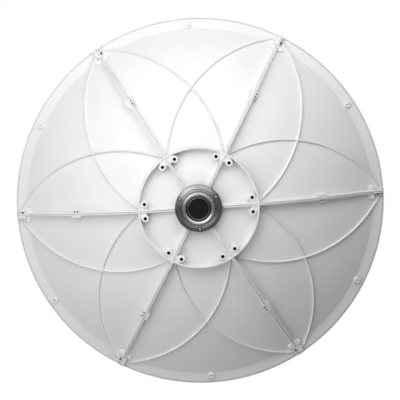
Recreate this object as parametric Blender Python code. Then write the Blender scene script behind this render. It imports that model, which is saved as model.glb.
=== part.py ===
"""Rear-ribbed reflector of a microwave dish antenna, with its waveguide feed.

Units are metres and +Z is up. The dish axis lies along Y: the ribbed back faces -Y
and the beam leaves along +Y. The origin is the centre of the bracket boss circle,
in the plane of the boss faces.
"""
import math

import bmesh
import bpy
from mathutils import Vector

# Clearance between pieces that touch on the real antenna
SEAT_GAP = 0.0003

# Reflector
RIM_RADIUS = 0.325
FLANGE_WIDTH = 0.0195
FLANGE_THICKNESS = 0.005
FLANGE_BAND_RADIUS = 0.3165
FLANGE_DROP = 0.0025
FOCAL_LENGTH = 0.305
SHELL_THICKNESS = 0.003
VERTEX_DEPTH = 0.008
LIP_WIDTH = 0.003
LIP_STEP = 0.0008
ROUND_STEPS = 72
SHELL_ROWS = 8

# Ribs on the back
RIB_COUNT = 6
RIB_PITCH = 360.0 / RIB_COUNT
RIB_TOP_WIDTH = 0.0050
RIB_DRAFT = math.radians(4.0)
RIB_END_HEIGHT = 0.0085
RIB_TOP_DEPTH = 0.0006
RIB_STATIONS = 9
CLIP_RADIUS = 0.210
CLIP_LENGTH = 0.018
CLIP_WIDTH = 0.0094
CLIP_FLAT_SHARE = 0.6
SHOULDER_RADIUS = 0.2135
SHOULDER_LENGTH = 0.0100
SHOULDER_WIDTH = 0.0140
SHOULDER_HEIGHT = 0.0080

# Curved petal ribs
PETAL_WIDTH = 0.0017
PETAL_HEIGHT = 0.0042
PETAL_HUB_ANGLE = math.radians(3.0)
PETAL_HUB_CLEARANCE = 0.0014
PETAL_RIM_ANGLE = math.radians(1.9)
PETAL_RIM_RADIUS = 0.3160
PETAL_CROSSING_RADIUS = 0.2035
PETAL_STATIONS = 15
CROSSING_KNOB_RADIUS = 0.0023
CROSSING_KNOB_HEIGHT = 0.0047

# Hub ring, spokes and bracket bosses
RING_OUTER_RADIUS = 0.1030
RING_WALL = 0.0026
SPOKE_START_RADIUS = 0.0410
SPOKE_STATIONS = 4
BOSS_CIRCLE_RADIUS = 0.0922
BOSS_HALF_ANGLE = math.radians(7.6)
BOSS_RADIUS = 0.00645
BOSS_HOLE_RADIUS = 0.0026
BOSS_HOLE_DEPTH = 0.0115
BOSS_STEPS = 16
PLATFORM_INWARD = 0.0030
PLATFORM_TOP_DEPTH = 0.0024
PLATFORM_ARC_STEPS = 6

# Rim bosses and the lugs at the rib ends
RIM_BOSS_CIRCLE_RADIUS = 0.3108
RIM_BOSS_RADIUS = 0.0051
RIM_BOSS_HOLE_RADIUS = 0.0017
RIM_BOSS_HEIGHT = 0.0048
RIM_BOSS_HOLE_DEPTH = 0.0029
LUG_START_RADIUS = 0.2958
LUG_END_RADIUS = 0.3243
LUG_WIDTH = 0.0118
LUG_SHOULDER_LENGTH = 0.0015
LUG_HEIGHT = 0.0078
LUG_EDGE_HEIGHT = 0.0052
LUG_SLOPE_LENGTH = 0.0040
LOBE_CIRCLE_RADIUS = 0.3008
LOBE_OFFSET = 0.0085
LOBE_RADIUS = 0.0040
LOBE_HEIGHT = 0.0056
LOBE_STEPS = 12
LOBE_BAR_WIDTH = 0.0024
LOBE_BAR_HEIGHT = 0.0045

# Metal feed flange, collar and screws
SEAT_PAD_RADIUS = 0.0420
BORE_RADIUS = 0.0274
FLANGE_DISC_RADIUS = 0.0400
FLANGE_EDGE_DEPTH = -0.0052
FLANGE_EDGE_CHAMFER = 0.0008
FLANGE_CREST_RADIUS = 0.0300
FLANGE_CREST_DEPTH = -0.0090
FLANGE_GROOVE_RADIUS = 0.0289
FLANGE_GROOVE_DEPTH = -0.0076
COLLAR_FACE_DEPTH = -0.0138
COLLAR_FACE_OUTER_RADIUS = 0.0259
COLLAR_FACE_INNER_RADIUS = 0.0243
FUNNEL_END_RADIUS = 0.0203
FUNNEL_END_DEPTH = -0.0093
COLLAR_GROOVE_RADIUS = 0.0190
COLLAR_GROOVE_DEPTH = -0.0076
COLLAR_INNER_RADIUS = 0.0180
COLLAR_FRONT_DEPTH = 0.0190
SCREW_CIRCLE_RADIUS = 0.0352
SCREW_POCKET_RADIUS = 0.0037
SCREW_POCKET_DEPTH = -0.0064
SCREW_HEAD_RADIUS = 0.0030
SCREW_HEAD_HEIGHT = 0.0024
SCREW_HEAD_EDGE = 0.0009
SCREW_STEPS = 12
SCREW_ANGLES = (30.0, 150.0, 270.0)

# Waveguide feed in front of the dish
WINDOW_DEPTH = -0.0078
WINDOW_THICKNESS = 0.0030
TUBE_RADIUS = 0.0177
TUBE_WALL = 0.0024
TUBE_END_DEPTH = 0.2250
LOCK_RING_RADIUS = 0.0340
LOCK_RING_THICKNESS = 0.0070
LOCK_RING_CHAMFER = 0.0010
CONE_TIP_LENGTH = 0.0300
CONE_PLUG_LENGTH = 0.0080
CONE_END_DEPTH = 0.2560
CONE_END_RADIUS = 0.0440
SUB_REFLECTOR_RADIUS = 0.0600
SUB_REFLECTOR_DEPTH = 0.2700
SUB_REFLECTOR_DISH = 0.0040
SUB_REFLECTOR_EDGE = 0.0050
SUB_REFLECTOR_CROWN = 0.0010
FEED_STEPS = 36

# Colour, roughness and metallic value of each finish
FINISHES = {
    "white_paint": ((0.80, 0.80, 0.81), 0.42, 0.0),
    "machined_aluminium": ((0.62, 0.62, 0.61), 0.30, 1.0),
    "polished_steel": ((0.72, 0.72, 0.71), 0.16, 1.0),
    "black_plastic": ((0.018, 0.017, 0.016), 0.45, 0.0),
    "cream_plastic": ((0.78, 0.76, 0.69), 0.38, 0.0),
}


def shell_back(radius):
    """Depth of the reflector's rear surface at a radius, on the parabola."""
    return VERTEX_DEPTH + radius * radius / (4.0 * FOCAL_LENGTH)


def back_surface(radius):
    """Depth of the back: flat feed seat, parabola, sloping flange, then its flat outer band."""
    inner = RIM_RADIUS - FLANGE_WIDTH
    slope_share = min(max(radius - inner, 0.0) / (FLANGE_BAND_RADIUS - inner), 1.0)
    return shell_back(min(max(radius, SEAT_PAD_RADIUS), inner)) + FLANGE_DROP * slope_share


def rib_top(radius):
    """Depth of a radial rib's crest, which sinks towards the shell near the rim."""
    start = RING_OUTER_RADIUS
    hub_height = shell_back(start) - RIB_TOP_DEPTH
    along = (radius - start) / (LUG_START_RADIUS - start)
    height = RIB_END_HEIGHT + (hub_height - RIB_END_HEIGHT) * (1.0 - along * along)
    return shell_back(radius) - height


def make_material(name):
    colour, roughness, metallic = FINISHES[name]
    material = bpy.data.materials.new(name)
    material.use_nodes = True
    shader = material.node_tree.nodes["Principled BSDF"]
    shader.inputs["Base Color"].default_value = (*colour, 1.0)
    shader.inputs["Roughness"].default_value = roughness
    shader.inputs["Metallic"].default_value = metallic
    return material


def add_object(name, mesh, finish, turn_degrees=0.0):
    """Put a mesh in the scene, turned about the dish axis from +X towards +Z."""
    piece = bpy.data.objects.new(name, mesh)
    piece.rotation_euler = (0.0, -math.radians(turn_degrees), 0.0)
    bpy.context.collection.objects.link(piece)
    if not mesh.materials:
        mesh.materials.append(MATERIALS[finish])
    return piece


def finish_mesh(name, shape, smooth_angle=30.0):
    """Turn a bmesh into a mesh with outward faces, smooth across shallow edges."""
    bmesh.ops.recalc_face_normals(shape, faces=shape.faces)
    mesh = bpy.data.meshes.new(name)
    shape.to_mesh(mesh)
    shape.free()
    mesh.shade_smooth()
    mesh.set_sharp_from_angle(angle=math.radians(smooth_angle))
    return mesh


def turned_mesh(name, profile, steps):
    """Spin a closed profile of (radius, depth) points about the dish axis."""
    shape = bmesh.new()
    corners = [shape.verts.new((radius, depth, 0.0)) for radius, depth in profile]
    for start, end in zip(corners, corners[1:] + corners[:1]):
        shape.edges.new((start, end))
    bmesh.ops.spin(
        shape,
        geom=shape.verts[:] + shape.edges[:],
        cent=(0.0, 0.0, 0.0),
        axis=(0.0, 1.0, 0.0),
        angle=math.tau,
        steps=steps,
        use_merge=True,
    )
    bmesh.ops.remove_doubles(shape, verts=shape.verts, dist=1e-6)
    return finish_mesh(name, shape)


def turned_solid_mesh(name, profile, steps):
    """Spin an open profile whose two ends lie on the dish axis."""
    shape = bmesh.new()
    rings = []
    for radius, depth in profile:
        if radius == 0.0:
            rings.append([shape.verts.new((0.0, depth, 0.0))])
            continue
        ring = []
        for step in range(steps):
            angle = math.tau * step / steps
            ring.append(shape.verts.new((radius * math.cos(angle), depth, radius * math.sin(angle))))
        rings.append(ring)
    for inner, outer in zip(rings, rings[1:]):
        for step in range(steps):
            after = (step + 1) % steps
            corners = [
                inner[step % len(inner)],
                inner[after % len(inner)],
                outer[after % len(outer)],
                outer[step % len(outer)],
            ]
            shape.faces.new(list(dict.fromkeys(corners)))
    return finish_mesh(name, shape)


def ridge_shape(stations):
    """A bar standing on the reflector's back, from (centre, side, half width, crest depth)."""
    shape = bmesh.new()
    rings = []
    for centre, side, half, crest in stations:
        height = back_surface(centre.length) - crest
        foot_half = half + height * math.tan(RIB_DRAFT)
        ring = []
        for offset in (-half, half):
            point = centre + side * offset
            ring.append(shape.verts.new((point.x, crest, point.y)))
        for offset in (foot_half, -foot_half):
            point = centre + side * offset
            foot = back_surface(point.length) - SEAT_GAP
            ring.append(shape.verts.new((point.x, foot, point.y)))
        rings.append(ring)
    for near, far in zip(rings, rings[1:]):
        for corner in range(4):
            after = (corner + 1) % 4
            shape.faces.new((near[corner], near[after], far[after], far[corner]))
    shape.faces.new(rings[0])
    shape.faces.new(list(reversed(rings[-1])))
    return shape


def straight_ridge(points):
    """A bar along +X; each point is (radius, crest depth, crest width)."""
    side = Vector((0.0, 1.0))
    return ridge_shape([(Vector((radius, 0.0)), side, width / 2, crest) for radius, crest, width in points])


def prism_shape(outline, top_depth):
    """An upright block over a closed plan outline, standing on the reflector's back."""
    shape = bmesh.new()
    foot = [shape.verts.new((point.x, back_surface(point.length) - SEAT_GAP, point.y)) for point in outline]
    top = [shape.verts.new((point.x, top_depth, point.y)) for point in outline]
    for corner in range(len(outline)):
        after = (corner + 1) % len(outline)
        shape.faces.new((foot[corner], foot[after], top[after], top[corner]))
    shape.faces.new(list(reversed(foot)))
    shape.faces.new(top)
    return shape


def boss_shape(centre, radius, hole_radius, top_depth, hole_depth):
    """A round boss with a blind hole, whose foot follows the surface that it stands on."""
    shape = bmesh.new()
    loops = {"foot": [], "rim": [], "mouth": [], "floor": []}
    for step in range(BOSS_STEPS):
        angle = math.tau * step / BOSS_STEPS
        direction = Vector((math.cos(angle), math.sin(angle)))
        outer = centre + direction * radius
        inner = centre + direction * hole_radius
        foot_depth = back_surface(outer.length) - SEAT_GAP
        loops["foot"].append(shape.verts.new((outer.x, foot_depth, outer.y)))
        loops["rim"].append(shape.verts.new((outer.x, top_depth, outer.y)))
        loops["mouth"].append(shape.verts.new((inner.x, top_depth, inner.y)))
        loops["floor"].append(shape.verts.new((inner.x, top_depth + hole_depth, inner.y)))
    order = ["foot", "rim", "mouth", "floor"]
    for lower, upper in zip(order, order[1:]):
        for step in range(BOSS_STEPS):
            after = (step + 1) % BOSS_STEPS
            shape.faces.new((
                loops[lower][step],
                loops[lower][after],
                loops[upper][after],
                loops[upper][step],
            ))
    shape.faces.new(list(reversed(loops["foot"])))
    shape.faces.new(loops["floor"])
    return shape


def fused_mesh(name, shapes):
    """Union several closed shapes into one mesh with exact Booleans."""
    solids = []
    for index, shape in enumerate(shapes):
        mesh = finish_mesh(f"{name}_shape_{index}", shape)
        solid = bpy.data.objects.new(f"{name}_solid_{index}", mesh)
        bpy.context.collection.objects.link(solid)
        solids.append(solid)
    for extra in solids[1:]:
        union = solids[0].modifiers.new("union", "BOOLEAN")
        union.operation = "UNION"
        union.solver = "EXACT"
        union.object = extra
    bpy.context.view_layer.update()
    evaluated = solids[0].evaluated_get(bpy.context.evaluated_depsgraph_get())
    fused = bpy.data.meshes.new_from_object(evaluated)
    fused.name = name
    for solid in solids:
        spare = solid.data
        bpy.data.objects.remove(solid)
        bpy.data.meshes.remove(spare)
    shape = bmesh.new()
    shape.from_mesh(fused)
    bmesh.ops.remove_doubles(shape, verts=shape.verts, dist=1e-6)
    bpy.data.meshes.remove(fused)
    return finish_mesh(name, shape)


def build_reflector():
    """The parabolic shell, with a flat seat for the feed, and its rim flange."""
    inner = RIM_RADIUS - FLANGE_WIDTH
    seat_depth = shell_back(SEAT_PAD_RADIUS)
    row_step = (inner - SEAT_PAD_RADIUS) / SHELL_ROWS
    radii = [SEAT_PAD_RADIUS + row_step * row for row in range(SHELL_ROWS + 1)]
    back = [(BORE_RADIUS, seat_depth)] + [(radius, shell_back(radius)) for radius in radii]
    front = [(radius, depth + SHELL_THICKNESS) for radius, depth in reversed(back)]
    add_object("reflector_shell", turned_mesh("reflector_shell", back + front, ROUND_STEPS), "white_paint")

    inner_depth = back_surface(inner)
    band_depth = inner_depth + FLANGE_DROP
    front_depth = inner_depth + FLANGE_THICKNESS
    profile = [
        (inner + SEAT_GAP, inner_depth),
        (FLANGE_BAND_RADIUS, band_depth),
        (RIM_RADIUS - LIP_WIDTH, band_depth),
        (RIM_RADIUS - LIP_WIDTH, band_depth + LIP_STEP),
        (RIM_RADIUS, band_depth + LIP_STEP),
        (RIM_RADIUS, front_depth),
        (inner + SEAT_GAP, front_depth),
    ]
    add_object("rim_flange", turned_mesh("rim_flange", profile, ROUND_STEPS), "white_paint")


def polar(radius, angle):
    return Vector((radius * math.cos(angle), radius * math.sin(angle)))


def round_pad(centre, radius, top_depth):
    """A short solid post with a flat top."""
    corners = [centre + polar(radius, math.tau * step / LOBE_STEPS) for step in range(LOBE_STEPS)]
    return prism_shape(corners, top_depth)


def build_hub_ring():
    inner = RING_OUTER_RADIUS - RING_WALL
    profile = [
        (inner, RIB_TOP_DEPTH),
        (RING_OUTER_RADIUS, RIB_TOP_DEPTH),
        (RING_OUTER_RADIUS, shell_back(RING_OUTER_RADIUS) - SEAT_GAP),
        (inner, shell_back(inner) - SEAT_GAP),
    ]
    add_object("hub_ring", turned_mesh("hub_ring", profile, ROUND_STEPS), "white_paint")


def platform_outline(ring_face):
    """Plan of the platform that joins a pair of bosses to the hub ring."""
    inner_x = BOSS_CIRCLE_RADIUS * math.cos(BOSS_HALF_ANGLE) - PLATFORM_INWARD
    half_width = BOSS_CIRCLE_RADIUS * math.sin(BOSS_HALF_ANGLE)
    outline = [Vector((inner_x, half_width)), Vector((inner_x, -half_width))]
    for step in range(PLATFORM_ARC_STEPS + 1):
        outline.append(polar(ring_face, BOSS_HALF_ANGLE * (2.0 * step / PLATFORM_ARC_STEPS - 1.0)))
    return outline


def build_hub_spokes():
    """Spokes inside the hub ring, each with its pair of tapped bosses on a platform."""
    ring_face = RING_OUTER_RADIUS - RING_WALL - SEAT_GAP
    spoke_points = []
    for row in range(SPOKE_STATIONS):
        radius = SPOKE_START_RADIUS + (ring_face - SPOKE_START_RADIUS) * row / (SPOKE_STATIONS - 1)
        spoke_points.append((radius, RIB_TOP_DEPTH, RIB_TOP_WIDTH))
    shapes = [straight_ridge(spoke_points), prism_shape(platform_outline(ring_face), PLATFORM_TOP_DEPTH)]
    for hand in (-1.0, 1.0):
        centre = polar(BOSS_CIRCLE_RADIUS, hand * BOSS_HALF_ANGLE)
        shapes.append(boss_shape(centre, BOSS_RADIUS, BOSS_HOLE_RADIUS, 0.0, BOSS_HOLE_DEPTH))
    mesh = fused_mesh("hub_spoke", shapes)
    for index in range(RIB_COUNT):
        add_object(f"hub_spoke_{index + 1}", mesh, "white_paint", RIB_PITCH * index)


def build_radial_ribs():
    """Six drafted ribs from the hub ring to the rim, each with an oval pad halfway."""
    start = RING_OUTER_RADIUS + SEAT_GAP
    end = LUG_START_RADIUS - SEAT_GAP
    half_clip = CLIP_LENGTH / 2
    half_flat = half_clip * CLIP_FLAT_SHARE
    pad_widths = {
        CLIP_RADIUS - half_clip: RIB_TOP_WIDTH,
        CLIP_RADIUS - half_flat: CLIP_WIDTH,
        CLIP_RADIUS + half_flat: CLIP_WIDTH,
        CLIP_RADIUS + half_clip: RIB_TOP_WIDTH,
    }
    radii = [start + (end - start) * row / (RIB_STATIONS - 1) for row in range(RIB_STATIONS)]
    radii = [radius for radius in radii if abs(radius - CLIP_RADIUS) > CLIP_LENGTH]
    points = []
    for radius in sorted(radii + list(pad_widths)):
        points.append((radius, rib_top(radius), pad_widths.get(radius, RIB_TOP_WIDTH)))
    shoulder = []
    for radius in (SHOULDER_RADIUS - SHOULDER_LENGTH / 2, SHOULDER_RADIUS + SHOULDER_LENGTH / 2):
        shoulder.append((radius, shell_back(radius) - SHOULDER_HEIGHT, SHOULDER_WIDTH))
    mesh = fused_mesh("radial_rib", [straight_ridge(points), straight_ridge(shoulder)])
    for index in range(RIB_COUNT):
        add_object(f"radial_rib_{index + 1}", mesh, "white_paint", RIB_PITCH * index)


def circle_through(first, second, third):
    """Centre of the circle through three plan points."""
    chord_a = second - first
    chord_b = third - first
    across = 2.0 * (chord_a.x * chord_b.y - chord_a.y * chord_b.x)
    rise = (
        chord_b.y * chord_a.length_squared - chord_a.y * chord_b.length_squared,
        chord_a.x * chord_b.length_squared - chord_b.x * chord_a.length_squared,
    )
    return first + Vector(rise) / across


def petal_arc():
    """One curved rib, from the hub ring beside a rib to the rim end of the next rib."""
    sector = math.tau / RIB_COUNT
    hub_end = polar(RING_OUTER_RADIUS + PETAL_HUB_CLEARANCE, PETAL_HUB_ANGLE)
    middle = polar(PETAL_CROSSING_RADIUS, sector / 2)
    rim_end = polar(PETAL_RIM_RADIUS, sector - PETAL_RIM_ANGLE)
    centre = circle_through(hub_end, middle, rim_end)
    radius = (hub_end - centre).length
    first = math.atan2(hub_end.y - centre.y, hub_end.x - centre.x)
    last = math.atan2(rim_end.y - centre.y, rim_end.x - centre.x)
    stations = []
    for row in range(PETAL_STATIONS):
        outward = polar(1.0, first + (last - first) * row / (PETAL_STATIONS - 1))
        point = centre + outward * radius
        stations.append((point, outward, PETAL_WIDTH / 2, back_surface(point.length) - PETAL_HEIGHT))
    return stations


def build_petal_ribs():
    """In each sector two mirrored arcs cross, with a small round knob where they meet."""
    sector = math.tau / RIB_COUNT
    arc = petal_arc()
    mirror_line = polar(1.0, sector / 2)
    mirrored = []
    for point, outward, half, crest in arc:
        reflected = mirror_line * (2.0 * point.dot(mirror_line)) - point
        direction = mirror_line * (2.0 * outward.dot(mirror_line)) - outward
        mirrored.append((reflected, direction, half, crest))
    crossing = polar(PETAL_CROSSING_RADIUS, sector / 2)
    knob_top = shell_back(PETAL_CROSSING_RADIUS) - CROSSING_KNOB_HEIGHT
    knob = round_pad(crossing, CROSSING_KNOB_RADIUS, knob_top)
    mesh = fused_mesh("petal_ribs", [knob, ridge_shape(arc), ridge_shape(mirrored)])
    for index in range(RIB_COUNT):
        add_object(f"petal_ribs_{index + 1}", mesh, "white_paint", RIB_PITCH * index)


def build_rim_bosses():
    """Small bosses on the flange, midway between the ribs."""
    centre = Vector((RIM_BOSS_CIRCLE_RADIUS, 0.0))
    top_depth = back_surface(RIM_BOSS_CIRCLE_RADIUS) - RIM_BOSS_HEIGHT
    shape = boss_shape(centre, RIM_BOSS_RADIUS, RIM_BOSS_HOLE_RADIUS, top_depth, RIM_BOSS_HOLE_DEPTH)
    mesh = finish_mesh("rim_boss", shape)
    for index in range(RIB_COUNT):
        add_object(f"rim_boss_{index + 1}", mesh, "white_paint", RIB_PITCH * (index + 0.5))


def build_rim_lugs():
    """The wider block that ends each rib at the rim, with a round pad on each side."""
    inner = RIM_RADIUS - FLANGE_WIDTH
    points = []
    for radius, height, width in (
        (LUG_START_RADIUS, RIB_END_HEIGHT, RIB_TOP_WIDTH),
        (inner, LUG_HEIGHT, RIB_TOP_WIDTH),
        (inner + LUG_SHOULDER_LENGTH, LUG_HEIGHT, LUG_WIDTH),
        (FLANGE_BAND_RADIUS, LUG_HEIGHT, LUG_WIDTH),
        (LUG_END_RADIUS - LUG_SLOPE_LENGTH, LUG_HEIGHT, LUG_WIDTH),
        (LUG_END_RADIUS, LUG_EDGE_HEIGHT, LUG_WIDTH),
    ):
        points.append((radius, back_surface(radius) - height, width))
    bar_crest = back_surface(LOBE_CIRCLE_RADIUS) - LOBE_BAR_HEIGHT
    lobe_top = back_surface(LOBE_CIRCLE_RADIUS) - LOBE_HEIGHT
    bar = []
    lobes = []
    for hand in (-1.0, 0.0, 1.0):
        point = Vector((LOBE_CIRCLE_RADIUS, hand * LOBE_OFFSET))
        bar.append((point, Vector((1.0, 0.0)), LOBE_BAR_WIDTH / 2, bar_crest))
        if hand:
            lobes.append(round_pad(point, LOBE_RADIUS, lobe_top))
    mesh = fused_mesh("rim_lug", [straight_ridge(points), ridge_shape(bar)] + lobes)
    for index in range(RIB_COUNT):
        add_object(f"rim_lug_{index + 1}", mesh, "white_paint", RIB_PITCH * index)


def build_feed_mount():
    """Coned metal flange on the hub, its collar, its three screws and the lock ring."""
    seat_depth = shell_back(SEAT_PAD_RADIUS) - SEAT_GAP
    flange = [
        (BORE_RADIUS, seat_depth),
        (FLANGE_DISC_RADIUS, seat_depth),
        (FLANGE_DISC_RADIUS, FLANGE_EDGE_DEPTH),
        (FLANGE_DISC_RADIUS - FLANGE_EDGE_CHAMFER, FLANGE_EDGE_DEPTH - FLANGE_EDGE_CHAMFER),
        (FLANGE_CREST_RADIUS, FLANGE_CREST_DEPTH),
        (FLANGE_GROOVE_RADIUS, FLANGE_GROOVE_DEPTH),
        (BORE_RADIUS, FLANGE_GROOVE_DEPTH),
    ]
    disc_mesh = turned_mesh("feed_flange", flange, ROUND_STEPS // 2)
    disc = add_object("feed_flange", disc_mesh, "machined_aluminium")

    collar_outer = BORE_RADIUS - SEAT_GAP
    collar = [
        (COLLAR_INNER_RADIUS, COLLAR_FRONT_DEPTH),
        (COLLAR_INNER_RADIUS, FUNNEL_END_DEPTH),
        (COLLAR_GROOVE_RADIUS, FUNNEL_END_DEPTH),
        (COLLAR_GROOVE_RADIUS, COLLAR_GROOVE_DEPTH),
        (FUNNEL_END_RADIUS, COLLAR_GROOVE_DEPTH),
        (FUNNEL_END_RADIUS, FUNNEL_END_DEPTH),
        (COLLAR_FACE_INNER_RADIUS, COLLAR_FACE_DEPTH),
        (COLLAR_FACE_OUTER_RADIUS, COLLAR_FACE_DEPTH),
        (collar_outer, FLANGE_GROOVE_DEPTH),
        (collar_outer, COLLAR_FRONT_DEPTH),
    ]
    add_object("feed_collar", turned_mesh("feed_collar", collar, FEED_STEPS), "polished_steel")

    ring_back = shell_back(SEAT_PAD_RADIUS) + SHELL_THICKNESS + SEAT_GAP
    lock_ring = [
        (BORE_RADIUS, ring_back),
        (LOCK_RING_RADIUS, ring_back),
        (LOCK_RING_RADIUS, ring_back + LOCK_RING_THICKNESS - LOCK_RING_CHAMFER),
        (LOCK_RING_RADIUS - LOCK_RING_CHAMFER, ring_back + LOCK_RING_THICKNESS),
        (BORE_RADIUS, ring_back + LOCK_RING_THICKNESS),
    ]
    add_object("feed_lock_ring", turned_mesh("feed_lock_ring", lock_ring, FEED_STEPS), "machined_aluminium")

    head_foot = SCREW_POCKET_DEPTH - SEAT_GAP
    head_top = head_foot - SCREW_HEAD_HEIGHT
    head = [
        (0.0, head_foot),
        (SCREW_HEAD_RADIUS, head_foot),
        (SCREW_HEAD_RADIUS, head_top + SCREW_HEAD_EDGE),
        (SCREW_HEAD_RADIUS - SCREW_HEAD_EDGE, head_top),
        (0.0, head_top),
    ]
    head_mesh = turned_solid_mesh("feed_screw", head, SCREW_STEPS)
    pocket = [
        (0.0, SCREW_POCKET_DEPTH),
        (SCREW_POCKET_RADIUS, SCREW_POCKET_DEPTH),
        (SCREW_POCKET_RADIUS, COLLAR_FACE_DEPTH),
        (0.0, COLLAR_FACE_DEPTH),
    ]
    pocket_mesh = turned_solid_mesh("screw_pocket", pocket, BOSS_STEPS)
    for index, degrees in enumerate(SCREW_ANGLES):
        place = polar(SCREW_CIRCLE_RADIUS, math.radians(degrees))
        screw = add_object(f"feed_screw_{index + 1}", head_mesh, "polished_steel")
        cutter = add_object(f"screw_pocket_{index + 1}", pocket_mesh, "machined_aluminium")
        cutter.hide_render = True
        cutter.display_type = "WIRE"
        for turned in (screw, cutter):
            turned.location = (place.x, 0.0, place.y)
        cut = disc.modifiers.new(f"screw_pocket_{index + 1}", "BOOLEAN")
        cut.operation = "DIFFERENCE"
        cut.solver = "EXACT"
        cut.object = cutter


def build_feed():
    """Waveguide window, tube, dielectric cone and sub-reflector in front of the dish."""
    window_front = WINDOW_DEPTH + WINDOW_THICKNESS
    window_radius = COLLAR_INNER_RADIUS - SEAT_GAP
    window = [
        (0.0, WINDOW_DEPTH),
        (window_radius, WINDOW_DEPTH),
        (window_radius, window_front),
        (0.0, window_front),
    ]
    window_mesh = turned_solid_mesh("waveguide_window", window, FEED_STEPS)
    add_object("waveguide_window", window_mesh, "black_plastic")

    tube_inner = TUBE_RADIUS - TUBE_WALL
    tube = [
        (tube_inner, window_front + SEAT_GAP),
        (TUBE_RADIUS, window_front + SEAT_GAP),
        (TUBE_RADIUS, TUBE_END_DEPTH),
        (tube_inner, TUBE_END_DEPTH),
    ]
    add_object("feed_tube", turned_mesh("feed_tube", tube, FEED_STEPS), "machined_aluminium")

    cone = [
        (0.0, TUBE_END_DEPTH - CONE_TIP_LENGTH),
        (tube_inner - SEAT_GAP, TUBE_END_DEPTH - CONE_PLUG_LENGTH),
        (tube_inner - SEAT_GAP, TUBE_END_DEPTH + SEAT_GAP),
        (TUBE_RADIUS, TUBE_END_DEPTH + SEAT_GAP),
        (CONE_END_RADIUS, CONE_END_DEPTH),
        (0.0, CONE_END_DEPTH),
    ]
    add_object("feed_cone", turned_solid_mesh("feed_cone", cone, FEED_STEPS), "cream_plastic")

    plate_back = CONE_END_DEPTH + SEAT_GAP
    plate = [
        (0.0, plate_back),
        (CONE_END_RADIUS, plate_back),
        (SUB_REFLECTOR_RADIUS, plate_back + SUB_REFLECTOR_DISH),
        (SUB_REFLECTOR_RADIUS, SUB_REFLECTOR_DEPTH - SUB_REFLECTOR_EDGE),
        (CONE_END_RADIUS, SUB_REFLECTOR_DEPTH - SUB_REFLECTOR_CROWN),
        (0.0, SUB_REFLECTOR_DEPTH),
    ]
    add_object("sub_reflector", turned_solid_mesh("sub_reflector", plate, FEED_STEPS), "machined_aluminium")


for leftover in list(bpy.data.objects):
    bpy.data.objects.remove(leftover)
MATERIALS = {finish: make_material(finish) for finish in FINISHES}
build_reflector()
build_hub_ring()
build_hub_spokes()
build_radial_ribs()
build_petal_ribs()
build_rim_bosses()
build_rim_lugs()
build_feed_mount()
build_feed()
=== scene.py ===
"""Looks of a microwave dish antenna, seen from its ribbed back.

Units are metres and +Z is up. The dish axis lies along Y: the ribbed back faces -Y and
the beam leaves along +Y. A plan point is (x, z), and a depth is a place along Y.
"""
import math

import bmesh
import bpy
from mathutils import Matrix, Vector


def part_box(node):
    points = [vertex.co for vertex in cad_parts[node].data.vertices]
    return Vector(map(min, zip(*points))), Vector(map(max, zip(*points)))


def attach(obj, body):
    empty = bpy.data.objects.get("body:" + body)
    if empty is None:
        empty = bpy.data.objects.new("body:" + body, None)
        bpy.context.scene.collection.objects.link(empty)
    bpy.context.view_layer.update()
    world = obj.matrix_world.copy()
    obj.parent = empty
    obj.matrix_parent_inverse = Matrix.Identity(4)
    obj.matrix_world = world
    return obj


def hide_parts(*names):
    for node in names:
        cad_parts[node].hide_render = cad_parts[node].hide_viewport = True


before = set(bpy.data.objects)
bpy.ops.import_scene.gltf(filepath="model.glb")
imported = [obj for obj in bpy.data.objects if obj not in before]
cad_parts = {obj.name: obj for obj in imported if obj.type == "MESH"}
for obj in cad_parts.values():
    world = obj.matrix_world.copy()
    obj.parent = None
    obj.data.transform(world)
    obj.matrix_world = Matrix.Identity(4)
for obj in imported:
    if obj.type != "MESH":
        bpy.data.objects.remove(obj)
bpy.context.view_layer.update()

# Reflector, from the frame and its parabola
RIM_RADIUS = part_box("rim_flange")[1].x
RIM_FRONT_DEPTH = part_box("rim_flange")[1].y
FOCAL_LENGTH = 0.305
VERTEX_DEPTH = 0.008
SHELL_THICKNESS = 0.003
SEAT_RADIUS = 0.0420
SHELL_RADIUS = 0.3055
SHELL_ROWS = 56
DISH_STEPS = 288
BAND_RADIUS = 0.3165
FLANGE_DROP = 0.0025
LIP_WIDTH = 0.0018
LIP_STEP = 0.0008
LIP_EDGE = 0.0002
RIM_EDGE = 0.00045
RIM_GROOVE_WIDTH = 0.0011
RIM_GROOVE_DEPTH = 0.0014

# Radial ribs, each with a groove along its crest and a clip halfway
RIB_COUNT = 6
RIB_PITCH = 360.0 / RIB_COUNT
RIB_WIDTH = 0.0050
RIB_DRAFT = math.radians(4.0)
RIB_END_HEIGHT = 0.0085
RIB_TOP_DEPTH = 0.0006
RIB_EDGE = 0.0005
RIB_FILLET = 0.0012
RIB_GROOVE_HALF_WIDTH = 0.0008
RIB_GROOVE_FLOOR_HALF_WIDTH = RIB_GROOVE_HALF_WIDTH / 3.0
RIB_GROOVE_DEPTH = 0.0024
RIB_STATION_STEP = 0.0030
CROSSING_SINK = 0.0001
CLIP_START_RADIUS = 0.2015
CLIP_FULL_RADIUS = 0.2095
CLIP_END_RADIUS = 0.2205
CLIP_REACH = 0.0067
CLIP_EASE = 0.84
CLIP_SINK = 0.0004
SHELF_RADII = (0.2070, 0.2190)
SHELF_REACH = 0.0066
SHELF_SINK = 0.0030
SHELF_EDGE = 0.0008
POCKET_RADIUS = 0.0013
POCKET_DEPTH = 0.0080
POCKET_OFFSET = 0.0041
CLIP_POCKET_RADII = (0.2101, 0.2154)
NOTCH_RADIUS = 0.0009
CLIP_NOTCH_RADIUS = 0.2146

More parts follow.
